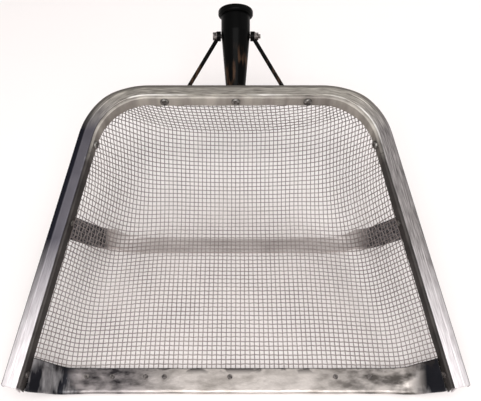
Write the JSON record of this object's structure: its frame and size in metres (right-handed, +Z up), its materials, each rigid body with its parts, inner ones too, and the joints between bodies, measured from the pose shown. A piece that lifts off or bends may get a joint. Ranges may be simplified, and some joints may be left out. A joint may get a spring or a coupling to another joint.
{
  "type": "soil sieve",
  "caption": "Shovel-shaped soil sieve with a square wire cloth basket in a bent aluminium rim and a braced handle socket",
  "frame": {"origin": "on the surface the sieve lies on, in the middle of the front blade's underside and on the plane of symmetry", "axes": "+X to the user's right across the open front, +Y from the open front towards the handle socket, +Z up out of the basket"},
  "size_m": [0.4468, 0.4089, 0.1819],
  "materials": {
    "rim_aluminium": "brushed, scuffed",
    "strip_aluminium": "satin",
    "wire_cloth": "galvanised wire",
    "plated_steel": "zinc plated",
    "galvanised_blade": "galvanised, stained",
    "galvanised_strap": "galvanised",
    "black_paint": "worn black paint"
  },
  "bodies": {
    "root": {"rim": "rim_aluminium", "mesh_basket": "wire_cloth", "clamp_strip_back": "strip_aluminium", "clamp_strip_left": "strip_aluminium", "clamp_strip_right": "strip_aluminium", "mesh_screws": "plated_steel", "mesh_washers": "plated_steel", "mesh_nuts": "plated_steel", "front_blade": "galvanised_blade", "blade_rivets": "plated_steel", "blade_end_rivets": "plated_steel", "strap": "galvanised_strap", "strap_rivets": "plated_steel", "handle_socket": "black_paint", "socket_foot": "black_paint", "left_brace": "black_paint", "right_brace": "black_paint", "brace_bolt": "plated_steel", "brace_nut": "plated_steel", "brace_washers": "plated_steel"}
  },
  "joints": []
}
